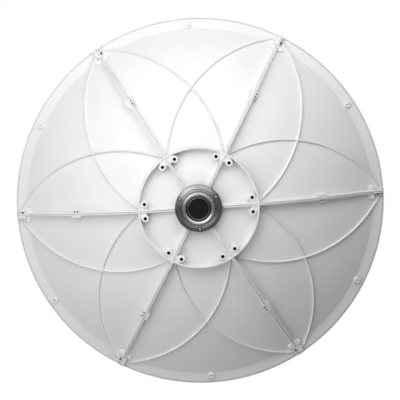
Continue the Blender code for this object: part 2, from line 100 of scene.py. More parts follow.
# Curved petal ribs
PETAL_WIDTH = 0.0017
PETAL_HEIGHT = 0.0042
PETAL_EDGE = 0.0007
PETAL_FILLET = 0.0011
PETAL_END_HEIGHT = 0.0022
PETAL_END_TAPER = 0.06
PETAL_HUB_ANGLE = math.radians(2.6)
PETAL_HUB_CLEARANCE = 0.0004
PETAL_RIM_ANGLE = math.radians(1.9)
PETAL_RIM_RADIUS = 0.3160
PETAL_CROSSING_RADIUS = 0.2035
PETAL_STATIONS = 120
KNOB_RADIUS = 0.0023
KNOB_HEIGHT = 0.0047

# Hub ring, spokes, bosses and the platforms under them
RING_OUTER_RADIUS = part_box("hub_ring")[1].x
RING_WALL = 0.0026
RING_STEPS = 240
SPOKE_START_RADIUS = 0.0401
BOSS_CIRCLE_RADIUS = 0.0922
BOSS_HALF_ANGLE = math.radians(7.6)
BOSS_RADIUS = 0.0064
BOSS_EDGE = 0.0011
BOSS_STEPS = 48
BOSS_HOLE_RADIUS = 0.0026
BOSS_HOLE_DEPTH = 0.0115
BOSS_HOLE_CHAMFER = 0.0003
BOSS_CORE_RADIUS = 0.0045
THREAD_PITCH = 0.0010
THREAD_DEPTH = 0.0004
PLATFORM_INWARD = 0.0030
PLATFORM_TOP_DEPTH = 0.0024
PLATFORM_EDGE = 0.0010
PLATFORM_ARC_STEPS = 12

# Rim bosses and the lugs at the rib ends
RIM_BOSS_CIRCLE_RADIUS = 0.3108
RIM_BOSS_RADIUS = 0.0051
RIM_BOSS_EDGE = 0.0010
RIM_BOSS_HOLE_RADIUS = 0.0017
RIM_BOSS_HOLE_DEPTH = 0.0029
RIM_BOSS_TOP_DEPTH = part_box("rim_boss_1")[0].y
LUG_START_RADIUS = 0.2958
LUG_END_RADIUS = 0.3243
LUG_SLOPE_LENGTH = 0.0040
LUG_SLOPE_DROP = 0.0026
LUG_BLOCK_RADIUS = 0.3078
LUG_BLOCK_REACH = 0.0067
LUG_SHELF_RADIUS = 0.3120
LUG_SHELF_REACH = 0.0064
LUG_SHELF_SINK = 0.0026
LUG_POCKET_RADII = (0.3155, 0.3200)
LUG_NOTCH_RADIUS = 0.3183
BAR_CIRCLE_RADIUS = 0.3030
BAR_HALF_LENGTH = 0.0085
BAR_HALF_WIDTH = 0.0040
BAR_HEIGHT = 0.0050
BAR_END_RISE = 0.0002
BAR_EDGE = 0.0009

# Metal feed flange, collar, screws and lock ring
BORE_RADIUS = 0.0274
FLANGE_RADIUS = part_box("feed_flange")[1].x
FLANGE_EDGE_DEPTH = -0.0052
FLANGE_CREST_RADIUS = 0.0306
FLANGE_CREST_DEPTH = -0.0090
FLANGE_SHOULDER = (0.0293, -0.0086)
FLANGE_GROOVE_RADIUS = 0.0289
FLANGE_GROOVE_DEPTH = -0.0076
FLANGE_RING_RADII = (0.0320, 0.0324, 0.0334)
FLANGE_RING_SINK = 0.0007
FLANGE_OUTER_EDGE = 0.0006
FLANGE_RING_EDGE = 0.0010
FLANGE_CREST_EDGE = 0.0005
FLANGE_SHOULDER_EDGE = 0.0003
FLANGE_GROOVE_EDGE = 0.0002
COLLAR_FACE_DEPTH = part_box("feed_collar")[0].y
COLLAR_FRONT_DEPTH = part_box("feed_collar")[1].y
COLLAR_CREST_RADIUS = 0.0254
COLLAR_INNER_ROUND = 0.0130
COLLAR_INNER_ARC = (-106.0, -90.0)
COLLAR_OUTER_ROUND = 0.0020
COLLAR_OUTER_ARC = (-85.0, -25.0)
FUNNEL_END_RADIUS = 0.0201
FUNNEL_END_DEPTH = -0.0093
COLLAR_GROOVE_RADIUS = 0.0190
COLLAR_GROOVE_DEPTH = -0.0076
COLLAR_INNER_RADIUS = 0.0180
TURNED_STEPS = 144
SCREW_CIRCLE_RADIUS = 0.0352
SCREW_ANGLES = (30.0, 150.0, 270.0)
SCREW_POCKET_RADIUS = 0.0037
SCREW_POCKET_DEPTH = -0.0064
SCREW_HEAD_RADIUS = 0.0030
SCREW_HEAD_HEIGHT = 0.0024
SCREW_HEAD_EDGE = 0.0017
SOCKET_HALF_WIDTH = 0.0012
SOCKET_DEPTH = 0.0013
SCREW_STEPS = 48
LOCK_RING_RADIUS = 0.0340
LOCK_RING_EDGE = 0.0010

# Waveguide window, tube, dielectric cone and sub-reflector
WINDOW_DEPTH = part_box("waveguide_window")[0].y
WINDOW_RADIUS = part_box("waveguide_window")[1].x
WINDOW_THICKNESS = 0.0030
TUBE_RADIUS = 0.0177
TUBE_WALL = 0.0024
TUBE_END_DEPTH = 0.2250
TUBE_EDGE = 0.0004
CONE_TIP_LENGTH = 0.0300
CONE_PLUG_LENGTH = 0.0080
CONE_END_DEPTH = 0.2560
CONE_END_RADIUS = 0.0440
CONE_EDGE = 0.0008
CONE_EDGE_ARC = (-30.0, 90.0)
PLATE_RADIUS = 0.0600
PLATE_FRONT_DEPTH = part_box("sub_reflector")[1].y
PLATE_DISH = 0.0040
PLATE_EDGE = 0.0050
PLATE_CORNER = 0.0010
PLATE_CROWN = 0.0010

# How fine the rounded edges are, how deep a foot is sunk into the shell, and how far past a
# pocket's edge its near-black painted shade reaches
ARC_STEPS = 5
CUTTER_STEPS = 24
BLOCK_EDGE_STEPS = 3
BURIED = 0.0006
PAINT_MARGIN = 0.00015
SMOOTH_ANGLE = math.radians(38.0)

# Powder coat: textures in cycles per metre, and the height of their relief
MOTTLE_SCALE = 14.0
SHEEN_SCALE = 90.0
PEEL_SCALE = 520.0
PEEL_HEIGHT = 0.000016
GRAIN_SCALE = 2600.0
GRAIN_HEIGHT = 0.000006

# Turned metals: dark and light tone, roughness, stretch of the highlights and ring scale
TURNED_RING_HEIGHT = 0.0000001
TURNED_METALS = {
    "turned_aluminium": ((0.27, 0.27, 0.28), (0.33, 0.33, 0.34), 0.33, 0.80, 380.0),
    "screw_steel": ((0.34, 0.34, 0.34), (0.42, 0.42, 0.42), 0.30, 0.00, 520.0),
    # shaded_steel is a near-black painted shade for the collar's funnel
    "shaded_steel": ((0.09, 0.09, 0.09), (0.13, 0.13, 0.13), 0.33, 0.80, 520.0),
    "pale_aluminium": ((0.56, 0.56, 0.57), (0.62, 0.62, 0.63), 0.36, 0.50, 380.0),
    "bright_steel": ((0.60, 0.60, 0.60), (0.66, 0.66, 0.66), 0.30, 0.85, 520.0),
}

# Plastics, and the grey painted shade of the rim groove: dark and light tone, roughness, height of the grain
# and gloss
PLASTICS = {
    "groove_painted_shade": ((0.52, 0.52, 0.53), (0.58, 0.58, 0.59), 0.60, 0.000006, 0.50),
    "black_plastic": ((0.006, 0.005, 0.005), (0.012, 0.010, 0.009), 0.50, 0.000006, 0.12),
    "cream_plastic": ((0.74, 0.72, 0.64), (0.80, 0.78, 0.71), 0.38, 0.000004, 0.50),
}

# Camera, fitted to the rim, the boss circle and the ribs of the photograph
CAMERA_AIM = Vector((0.00239, 0.0300, 0.01084))
CAMERA_DISTANCE = 1.9000
CAMERA_AZIMUTH = math.radians(1.414)
CAMERA_ELEVATION = math.radians(5.440)
CAMERA_ROLL = math.radians(-3.922)
CAMERA_LENS = 99.6
CAMERA_SENSOR = 36.0

# Studio: the floor, the backdrop and the strength of the room's light
FLOOR_RADIUS = 8.0
FLOOR_HEIGHT = -2.0
BACKDROP_RADIUS = 9.0
BACKDROP_HEIGHT = 0.0
ROOM_LIGHT = 0.177

# Soft lights: name, place, size and power, and whether it shows on matt paint, in metal or both
SOFTBOXES = (
    ("above_left", (-0.25, -0.40, 0.30), 0.50, 1.81, "matt"),
    ("above_right", (0.25, -0.40, 0.50), 0.50, 2.32, "matt"),
    ("left", (-0.50, -0.40, -0.20), 0.60, 0.86, "matt"),
    ("low", (-0.25, -0.60, -0.40), 0.60, 1.09, "matt"),
    ("beam_side", (1.20, 1.96, 0.69), 1.60, 60.0, "both"),
    ("high_card", (-0.24, -0.50, 0.23), 0.36, 0.75, "metal"),
    ("wide_card", (-0.02, -0.50, 0.35), 0.70, 2.60, "metal"),
)


def shell_back(radius):
    """Depth of the reflector's rear surface at a radius, on the parabola."""
    return VERTEX_DEPTH + radius * radius / (4.0 * FOCAL_LENGTH)


def back_surface(radius):
    """Depth of the back: flat feed seat, parabola, sloping flange, then its flat outer band."""
    slope_share = min(max(radius - SHELL_RADIUS, 0.0) / (BAND_RADIUS - SHELL_RADIUS), 1.0)
    return shell_back(min(max(radius, SEAT_RADIUS), SHELL_RADIUS)) + FLANGE_DROP * slope_share


def rib_top(radius):
    """Depth of a radial rib's crest, which sinks towards the shell near the rim."""
    hub_height = shell_back(RING_OUTER_RADIUS) - RIB_TOP_DEPTH
    along = (radius - RING_OUTER_RADIUS) / (LUG_START_RADIUS - RING_OUTER_RADIUS)
    height = RIB_END_HEIGHT + (hub_height - RIB_END_HEIGHT) * (1.0 - along * along)
    return shell_back(radius) - height


def polar(radius, angle):
    """A plan point at a radius and an angle from +X towards +Z."""
    return Vector((radius * math.cos(angle), radius * math.sin(angle)))


def arc(centre, radius, start, end, steps=ARC_STEPS):
    """Points along an arc about (across, depth); the angles are in degrees."""
    points = []
    for step in range(steps + 1):
        angle = math.radians(start + (end - start) * step / steps)
        across = centre[0] + radius * math.cos(angle)
        points.append((across, centre[1] + radius * math.sin(angle)))
    return points


def rounded(corners):
    """Points of an outline whose corners (across, depth, radius) are rounded."""
    points = []
    for index, (across, depth, radius) in enumerate(corners):
        here = Vector((across, depth))
        if radius == 0.0:
            points.append((across, depth))
            continue
        before = (Vector(corners[index - 1][:2]) - here).normalized()
        after = (Vector(corners[(index + 1) % len(corners)][:2]) - here).normalized()
        half_angle = before.angle(after) / 2.0
        reach = radius / math.tan(half_angle)
        middle = here + (before + after).normalized() * radius / math.sin(half_angle)
        start = here + before * reach - middle
        end = here + after * reach - middle
        turn = math.atan2(start.x * end.y - start.y * end.x, start.dot(end))
        for step in range(ARC_STEPS + 1):
            spoke = start.copy()
            spoke.rotate(Matrix.Rotation(turn * step / ARC_STEPS, 2))
            points.append(tuple(middle + spoke))
    return points


def corner(shape, point, depth):
    """A new corner of a shape, at a plan point and a depth."""
    return shape.verts.new((point.x, depth, point.y))


def skin(shape, rings, wrap=False):
    """Join neighbouring rings of corners with faces; a ring of one corner is a pole."""
    pairs = list(zip(rings, rings[1:]))
    if wrap:
        pairs.append((rings[-1], rings[0]))
    for near, far in pairs:
        count = max(len(near), len(far))
        for index in range(count):
            after = (index + 1) % count
            corners = [
                near[index % len(near)],
                near[after % len(near)],
                far[after % len(far)],
                far[index % len(far)],
            ]
            shape.faces.new(list(dict.fromkeys(corners)))
    return shape


def circle(shape, centre, radius, depth_at, steps):
    """A ring of corners about a plan point, or one corner where the radius is nought."""
    if radius == 0.0:
        return [corner(shape, centre, depth_at(centre))]
    ring = []
    for step in range(steps):
        point = centre + polar(radius, math.tau * step / steps)
        ring.append(corner(shape, point, depth_at(point)))
    return ring


def level_rings(shape, centre, profile, steps):
    """A level ring of corners for each (radius, depth) point of a profile."""
    rings = []
    for radius, depth in profile:
        rings.append(circle(shape, centre, radius, lambda point, depth=depth: depth, steps))
    return rings


def turned(profile, steps=TURNED_STEPS, centre=Vector((0.0, 0.0)), wrap=True):
    """Turn (radius, depth) points about a line along Y; wrap closes the profile."""
    shape = bmesh.new()
    return skin(shape, level_rings(shape, centre, profile, steps), wrap)


def post(centre, top, foot, steps):
    """A turned post on the back: top depths are absolute, foot depths are from the surface."""
    shape = bmesh.new()
    rings = level_rings(shape, centre, top, steps)
    for radius, depth in foot:
        rings.append(circle(
            shape,
            centre,
            radius,
            lambda point, depth=depth: back_surface(point.length) + depth,
            steps,
        ))
    return skin(shape, rings)


def filleted_foot(radius, fillet):
    """Foot profile of a post: a fillet that runs out on the surface, then the sunk base."""
    foot = arc((radius + fillet, -fillet), fillet, 180.0, 90.0)
    return foot + [(radius + fillet, BURIED), (0.0, BURIED)]


def ridge(stations, edge, fillet, wrap=False, grooved=False):
    """A bar on the back, from (centre, side, half width, crest depth).

    Its crest edges are rounded, its walls drafted, and its foot follows the surface.
    """
    shape = bmesh.new()
    rings = []
    for centre, side, half, crest in stations:
        height = back_surface(centre.length) - crest
        foot_half = half + max(height - fillet, 0.0) * math.tan(RIB_DRAFT)
        crest_arc = arc((half - edge, crest + edge), edge, -90.0, 0.0)
        foot_arc = arc((foot_half + fillet, -fillet), fillet, 180.0, 90.0)
        flank = []
        if grooved:
            flank.append((RIB_GROOVE_FLOOR_HALF_WIDTH, crest + RIB_GROOVE_DEPTH, False))
            flank.append((RIB_GROOVE_HALF_WIDTH, crest, False))
        flank += [(across, depth, False) for across, depth in crest_arc]
        flank += [(across, depth, True) for across, depth in foot_arc]
        flank.append((foot_half + fillet, BURIED, True))
        ring = []
        mirrored = [(-across, depth, on_back) for across, depth, on_back in reversed(flank)]
        for across, depth, on_back in flank + mirrored:
            point = centre + side * across
            level = back_surface(point.length) if on_back else 0.0
            ring.append(corner(shape, point, depth + level))
        rings.append(ring)
    skin(shape, rings, wrap)
    if not wrap:
        shape.faces.new(rings[0])
        shape.faces.new(list(reversed(rings[-1])))
    return shape


def rib_piece(points, grooved=True):
    """A grooved bar along +X; each point is (radius, crest depth)."""
    side = Vector((0.0, 1.0))
    stations = [(Vector((radius, 0.0)), side, RIB_WIDTH / 2.0, crest) for radius, crest in points]
    return ridge(stations, RIB_EDGE, RIB_FILLET, grooved=grooved)


def shelf(points, edge):
    """A bar beside a rib's centre line; each point is (radius, crest depth, reach to one side)."""
    side = Vector((0.0, 1.0))
    stations = []
    for radius, crest, reach in points:
        stations.append((Vector((radius, reach / 2.0)), side, abs(reach) / 2.0, crest))
    return ridge(stations, edge, PETAL_FILLET)


def block(outline, top_depths, edge):
    """A prism over a plan outline with rounded upper edges; a depth for each corner."""
    shape = bmesh.new()
    foot = [corner(shape, point, back_surface(point.length) + BURIED) for point in outline]
    top = [corner(shape, point, depth) for point, depth in zip(outline, top_depths)]
    skin(shape, [foot, top])
    base = shape.faces.new(list(reversed(foot)))
    shape.faces.new(top)
    bmesh.ops.recalc_face_normals(shape, faces=shape.faces)
    upper = [rim for rim in shape.edges if base not in rim.link_faces]
    bmesh.ops.bevel(
        shape, geom=upper, offset=edge, segments=BLOCK_EDGE_STEPS, profile=0.5, affect="EDGES"
    )
    return shape


def finished(name, shapes):
    """One smooth-shaded mesh of several closed shapes."""
    whole = bmesh.new()
    for shape in shapes:
        part = bpy.data.meshes.new("part")
        bmesh.ops.recalc_face_normals(shape, faces=shape.faces)
        shape.to_mesh(part)
        shape.free()
        whole.from_mesh(part)
        bpy.data.meshes.remove(part)
    mesh = bpy.data.meshes.new(name)
    whole.to_mesh(mesh)
    whole.free()
    mesh.shade_smooth()
    mesh.set_sharp_from_angle(angle=SMOOTH_ANGLE)
    return mesh


def cut(mesh, cutter_shape):
    """The mesh with a closed shape taken out of it by an exact Boolean."""
    bmesh.ops.recalc_face_normals(cutter_shape, faces=cutter_shape.faces)
    cutter_mesh = bpy.data.meshes.new("cutter")
    cutter_shape.to_mesh(cutter_mesh)
    cutter_shape.free()
    cutter = bpy.data.objects.new("cutter", cutter_mesh)
    body = bpy.data.objects.new("body", mesh)
    for helper in (cutter, body):
        bpy.context.scene.collection.objects.link(helper)
    difference = body.modifiers.new("difference", "BOOLEAN")
    difference.operation = "DIFFERENCE"
    difference.solver = "EXACT"
    difference.object = cutter
    bpy.context.view_layer.update()
    evaluated = body.evaluated_get(bpy.context.evaluated_depsgraph_get())
    result = bpy.data.meshes.new_from_object(evaluated)
    for helper in (cutter, body):
        bpy.data.objects.remove(helper)
    bpy.data.meshes.remove(cutter_mesh)
    bpy.data.meshes.remove(mesh)
    return result


def drilled(shape, cutters):
    """The shape with round cutters taken out of it."""
    mesh = bpy.data.meshes.new("undrilled")
    bmesh.ops.recalc_face_normals(shape, faces=shape.faces)
    shape.to_mesh(mesh)
    for cutter_shape in cutters:
        mesh = cut(mesh, cutter_shape)
    shape.clear()
    shape.from_mesh(mesh)
    bpy.data.meshes.remove(mesh)
    return shape


def drill(centre, radius, mouth_depth, floor_depth):
    """A round cutter from above a surface down to its floor."""
    profile = [(0.0, mouth_depth), (radius, mouth_depth), (radius, floor_depth), (0.0, floor_depth)]
    return turned(profile, steps=CUTTER_STEPS, centre=centre, wrap=False)


def put(node, mesh, materials):
    """Show a fine mesh in place of a CAD node."""
    for material in materials:
        mesh.materials.append(material)
    piece = bpy.data.objects.new(f"{node}_fine", mesh)
    bpy.context.scene.collection.objects.link(piece)
    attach(piece, "root")
    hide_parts(node)


def put_around(node, mesh, materials, first_turn=0.0):
    """Show six turned copies of a mesh, one for each rib or sector."""
    for index in range(RIB_COUNT):
        turned_mesh = mesh.copy()
        turn = math.radians(first_turn + RIB_PITCH * index)
        turned_mesh.transform(Matrix.Rotation(-turn, 4, "Y"))
        put(f"{node}_{index + 1}", turned_mesh, materials)


def paint_faces(mesh, material_index, rule):
    """Give another material to the faces whose centre meets a rule."""
    for face in mesh.polygons:
        if rule(face.center):
            face.material_index = material_index


def near(centres, reach):
    """A rule: whether a place lies within a reach of one of several plan points."""
    def rule(place):
        point = Vector((place.x, place.z))
        return any((point - centre).length < reach for centre in centres)

    return rule


def node_after(tree, kind, **values):
    """A shader node with its named sockets and properties set."""
    node = tree.nodes.new(kind)
    for name, value in values.items():
        if hasattr(node, name):
            setattr(node, name, value)
        else:
            node.inputs[name.replace("_", " ").title()].default_value = value
    return node


def noise(tree, scale, detail=3.0):
    """Noise over the piece's own coordinates; scale is in cycles per metre."""
    place = tree.nodes.new("ShaderNodeTexCoord")
    texture = node_after(tree, "ShaderNodeTexNoise", scale=scale, detail=detail)
    tree.links.new(place.outputs["Object"], texture.inputs["Vector"])
    return texture.outputs["Fac"]


def spread(tree, source, low, high):
    """Map a texture's middle range onto low to high."""
    remap = tree.nodes.new("ShaderNodeMapRange")
    remap.inputs["From Min"].default_value = 0.3
    remap.inputs["From Max"].default_value = 0.7
    remap.inputs["To Min"].default_value = low
    remap.inputs["To Max"].default_value = high
    tree.links.new(source, remap.inputs["Value"])
    return remap.outputs["Result"]


def blend_colours(tree, source, dark, light):
    """A colour that varies from dark to light with a texture."""
    ramp = tree.nodes.new("ShaderNodeValToRGB")
    ramp.color_ramp.elements[0].position = 0.3
    ramp.color_ramp.elements[0].color = (*dark, 1.0)
    ramp.color_ramp.elements[1].position = 0.7
    ramp.color_ramp.elements[1].color = (*light, 1.0)
    tree.links.new(source, ramp.inputs["Fac"])
    return ramp.outputs["Color"]


def bumped(tree, height, distance, below=None):
    """A bump normal of a real height, over another one where given."""
    bump = tree.nodes.new("ShaderNodeBump")
    bump.inputs["Strength"].default_value = 1.0
    bump.inputs["Distance"].default_value = distance
    tree.links.new(height, bump.inputs["Height"])
    if below is not None:
        tree.links.new(below, bump.inputs["Normal"])
    return bump.outputs["Normal"]


def new_material(name, metallic=0.0):
    """A new material with its node tree and its shader."""
    material = bpy.data.materials.new(name)
    material.use_nodes = True
    shader = material.node_tree.nodes["Principled BSDF"]
    shader.inputs["Metallic"].default_value = metallic
    return material, material.node_tree, shader


def powder_coat():
    """Satin white powder coat: faint orange peel and a very slight mottle."""
    material, tree, shader = new_material("white_powder_coat")
    texture = noise(tree, MOTTLE_SCALE)
    mottle = blend_colours(tree, texture, (0.785, 0.785, 0.792), (0.815, 0.815, 0.820))
    tree.links.new(mottle, shader.inputs["Base Color"])
    sheen = spread(tree, noise(tree, SHEEN_SCALE), 0.40, 0.50)
    tree.links.new(sheen, shader.inputs["Roughness"])
    grain = bumped(tree, noise(tree, GRAIN_SCALE, 2.0), GRAIN_HEIGHT)
    peel = bumped(tree, noise(tree, PEEL_SCALE, 2.0), PEEL_HEIGHT, below=grain)
    tree.links.new(peel, shader.inputs["Normal"])
    return material


def turned_metal(name, dark, light, roughness, stretch, ring_scale):
    """Bare metal turned about the dish axis: its highlights stretch across the fine rings."""
    material, tree, shader = new_material(name, metallic=1.0)
    tone = blend_colours(tree, noise(tree, 240.0), dark, light)
    tree.links.new(tone, shader.inputs["Base Color"])
    polish = spread(tree, noise(tree, 420.0), roughness - 0.03, roughness + 0.04)
    tree.links.new(polish, shader.inputs["Roughness"])
    place = tree.nodes.new("ShaderNodeTexCoord")
    rings = tree.nodes.new("ShaderNodeTexWave")
    rings.wave_type = "RINGS"
    rings.rings_direction = "Y"
    rings.inputs["Scale"].default_value = ring_scale
    rings.inputs["Distortion"].default_value = 0.4
    rings.inputs["Detail"].default_value = 2.0
    tree.links.new(place.outputs["Object"], rings.inputs["Vector"])
    relief = bumped(tree, rings.outputs["Fac"], TURNED_RING_HEIGHT)
    tree.links.new(relief, shader.inputs["Normal"])
    around = tree.nodes.new("ShaderNodeTangent")
    around.direction_type = "RADIAL"
    around.axis = "Y"
    tree.links.new(around.outputs["Tangent"], shader.inputs["Tangent"])
    shader.inputs["Anisotropic"].default_value = stretch
    shader.inputs["Anisotropic Rotation"].default_value = 0.25
    return material


def hole_shade_metal():
    """Near-black paint for the tapped holes and the pockets: painted shade in these recesses, though the
    tapped threads are bare metal.
    """
    material, tree, shader = new_material("hole_painted_shade", metallic=0.6)
    tone = blend_colours(tree, noise(tree, 700.0), (0.006, 0.006, 0.006), (0.020, 0.019, 0.018))
    tree.links.new(tone, shader.inputs["Base Color"])
    tree.links.new(spread(tree, noise(tree, 900.0), 0.45, 0.65), shader.inputs["Roughness"])
    return material


def moulded_plastic(name, dark, light, roughness, grain_height, gloss):
    """Moulded plastic with a fine grain, or the grey painted shade in the rim groove."""
    material, tree, shader = new_material(name)
    tone = blend_colours(tree, noise(tree, 110.0), dark, light)
    tree.links.new(tone, shader.inputs["Base Color"])
    finish = spread(tree, noise(tree, 300.0), roughness - 0.05, roughness + 0.05)
    tree.links.new(finish, shader.inputs["Roughness"])
    relief = bumped(tree, noise(tree, 1800.0), grain_height)
    tree.links.new(relief, shader.inputs["Normal"])
    shader.inputs["Specular IOR Level"].default_value = gloss
    return material


def build_reflector(paint, groove_shade):
    """The parabolic shell with its flat feed seat, and the grooved rim flange around it."""
    row_step = (SHELL_RADIUS - SEAT_RADIUS) / SHELL_ROWS
    radii = [SEAT_RADIUS + row_step * row for row in range(SHELL_ROWS + 1)]
    back = [(BORE_RADIUS, shell_back(SEAT_RADIUS))] + [(radius, shell_back(radius)) for radius in radii]
    front = [(radius, depth + SHELL_THICKNESS) for radius, depth in reversed(back)]
    shell = finished("reflector_shell_fine", [turned(back + front, DISH_STEPS)])
    put("reflector_shell", shell, [paint])

    band_depth = back_surface(BAND_RADIUS)
    lip_start = RIM_RADIUS - LIP_WIDTH
    groove_start = lip_start - RIM_GROOVE_WIDTH
    floor_depth = band_depth + RIM_GROOVE_DEPTH
    outline = [
        (SHELL_RADIUS, back_surface(SHELL_RADIUS), 0.0),
        (BAND_RADIUS, band_depth, 0.0),
        (groove_start, band_depth, LIP_EDGE),
        (groove_start, floor_depth, 0.0),
        (lip_start, floor_depth, 0.0),
        (lip_start, band_depth + LIP_STEP, LIP_EDGE),
        (RIM_RADIUS, band_depth + LIP_STEP, RIM_EDGE),
        (RIM_RADIUS, RIM_FRONT_DEPTH, RIM_EDGE),
        (SHELL_RADIUS, RIM_FRONT_DEPTH, 0.0),
    ]
    rim = finished("rim_flange_fine", [turned(rounded(outline), DISH_STEPS)])

    def in_groove(place):
        distance = math.hypot(place.x, place.z)
        within = groove_start - LIP_EDGE / 2.0 < distance < lip_start + LIP_EDGE / 2.0
        return within and place.y < floor_depth + BURIED

    # The rim groove's faces are painted grey: painted shade, darker than the white coat.
    paint_faces(rim, 1, in_groove)
    put("rim_flange", rim, [paint, groove_shade])


def build_hub_ring(paint):
    """The round wall that ties the spokes, ribs and bosses together."""
    middle = RING_OUTER_RADIUS - RING_WALL / 2.0
    stations = []
    for step in range(RING_STEPS):
        outward = polar(1.0, math.tau * step / RING_STEPS)
        stations.append((outward * middle, outward, RING_WALL / 2.0, RIB_TOP_DEPTH + CROSSING_SINK))
    ring = ridge(stations, RIB_EDGE, RIB_FILLET, wrap=True)
    put("hub_ring", finished("hub_ring_fine", [ring]), [paint])


def boss(centre, radius, edge, hole_radius, hole_depth, top_depth, steps):
    """A round boss with a threaded blind hole."""
    top = [(0.0, top_depth + hole_depth), (hole_radius, top_depth + hole_depth)]
    turns = int((hole_depth - 2.0 * THREAD_PITCH) / THREAD_PITCH)
    for turn in range(turns):
        root = top_depth + hole_depth - THREAD_PITCH * (turn + 1.0)
        top += [(hole_radius, root + THREAD_PITCH / 4.0), (hole_radius + THREAD_DEPTH, root)]
    top += [(hole_radius, top_depth + BOSS_HOLE_CHAMFER), (hole_radius + BOSS_HOLE_CHAMFER, top_depth)]
    top += arc((radius - edge, top_depth + edge), edge, -90.0, 0.0)
    return post(centre, top, filleted_foot(radius, RIB_FILLET), steps)


def platform_outline():
    """Plan of the platform that joins a pair of bosses to the hub ring."""
    inner_x = BOSS_CIRCLE_RADIUS * math.cos(BOSS_HALF_ANGLE) - PLATFORM_INWARD
    half_width = BOSS_CIRCLE_RADIUS * math.sin(BOSS_HALF_ANGLE)
    outline = [Vector((inner_x, half_width)), Vector((inner_x, -half_width))]
    for step in range(PLATFORM_ARC_STEPS + 1):
        angle = BOSS_HALF_ANGLE * (2.0 * step / PLATFORM_ARC_STEPS - 1.0)
        outline.append(polar(RING_OUTER_RADIUS - RING_WALL / 2.0, angle))
    return outline


def build_hub_spokes(paint, recess_shade):
    """Spokes inside the ring, each with its pair of tapped bosses on a platform."""
    end = RING_OUTER_RADIUS - RING_WALL / 2.0
    spoke = []
    count = int((end - SPOKE_START_RADIUS) / RIB_STATION_STEP)
    for row in range(count + 1):
        radius = SPOKE_START_RADIUS + (end - SPOKE_START_RADIUS) * row / count
        spoke.append((radius, RIB_TOP_DEPTH))
    outline = platform_outline()
    centres = [polar(BOSS_CIRCLE_RADIUS, hand * BOSS_HALF_ANGLE) for hand in (-1.0, 1.0)]
    cores = [drill(centre, BOSS_CORE_RADIUS, 0.0, 2.0 * BOSS_HOLE_DEPTH) for centre in centres]
    platform = drilled(block(outline, [PLATFORM_TOP_DEPTH] * len(outline), PLATFORM_EDGE), cores)
    shapes = [rib_piece(spoke), platform]
    for centre in centres:
        shapes.append(boss(
            centre,
            BOSS_RADIUS,
            BOSS_EDGE,
            BOSS_HOLE_RADIUS,
            BOSS_HOLE_DEPTH,
            0.0,
            BOSS_STEPS,
        ))
    mesh = finished("hub_spoke_fine", shapes)
    # The tapped holes' walls take the near-black paint: painted shade in the holes.
    by_a_hole = near(centres, BOSS_HOLE_RADIUS + BOSS_HOLE_CHAMFER)
    paint_faces(mesh, 1, lambda place: place.y > 0.0 and by_a_hole(place))
    put_around("hub_spoke", mesh, [paint, recess_shade])


def pocket_cutters(radii, offset, radius, crest_at):
    """Round cutters beside a rib, through a crest down to the pocket floor."""
    cutters = []
    for place in radii:
        crest = crest_at(place)
        centre = Vector((place, offset))
        cutters.append(drill(centre, radius, crest - POCKET_DEPTH, crest + POCKET_DEPTH))
    return cutters


def paint_pockets(mesh, radii, reach):
    """Paint the pockets beside a rib near black, out to a reach from each one's centre: painted shade."""
    centres = [Vector((radius, -POCKET_OFFSET)) for radius in radii]
    paint_faces(mesh, 1, near(centres, reach))


def build_radial_ribs(paint, recess_shade):
    """Six grooved, drafted ribs, each with a clip on one side and a pocketed shelf on the other."""
    start = RING_OUTER_RADIUS - RING_WALL / 2.0
    count = int((LUG_START_RADIUS - start) / RIB_STATION_STEP)
    radii = [start + (LUG_START_RADIUS - start) * row / count for row in range(count + 1)]
    rib = rib_piece([(radius, rib_top(radius)) for radius in radii])

    clip = []
    for radius, reach in (
        (CLIP_START_RADIUS, RIB_WIDTH / 2.0),
        ((CLIP_START_RADIUS + CLIP_FULL_RADIUS) / 2.0, CLIP_REACH * CLIP_EASE),
        (CLIP_FULL_RADIUS, CLIP_REACH),
        (CLIP_END_RADIUS - SHELF_EDGE, CLIP_REACH),
        (CLIP_END_RADIUS, CLIP_REACH - SHELF_EDGE),
    ):
        clip.append((radius, rib_top(radius) + CLIP_SINK, reach))
    notch = pocket_cutters((CLIP_NOTCH_RADIUS,), CLIP_REACH, NOTCH_RADIUS, rib_top)
    ledge = [(radius, rib_top(radius) + SHELF_SINK, -SHELF_REACH) for radius in SHELF_RADII]
    pockets = pocket_cutters(CLIP_POCKET_RADII, -POCKET_OFFSET, POCKET_RADIUS, rib_top)
    shapes = [rib, drilled(shelf(clip, SHELF_EDGE), notch), drilled(shelf(ledge, SHELF_EDGE), pockets)]
    mesh = finished("radial_rib_fine", shapes)
    # The clip's pockets are painted near black: painted shade.
    paint_pockets(mesh, CLIP_POCKET_RADII, POCKET_RADIUS + PAINT_MARGIN)
    put_around("radial_rib", mesh, [paint, recess_shade])


def circle_through(first, second, third):
    """Centre of the circle through three plan points."""
    chord_a = second - first
    chord_b = third - first
    across = 2.0 * (chord_a.x * chord_b.y - chord_a.y * chord_b.x)
    rise = (
        chord_b.y * chord_a.length_squared - chord_a.y * chord_b.length_squared,
        chord_a.x * chord_b.length_squared - chord_b.x * chord_a.length_squared,
    )
    return first + Vector(rise) / across


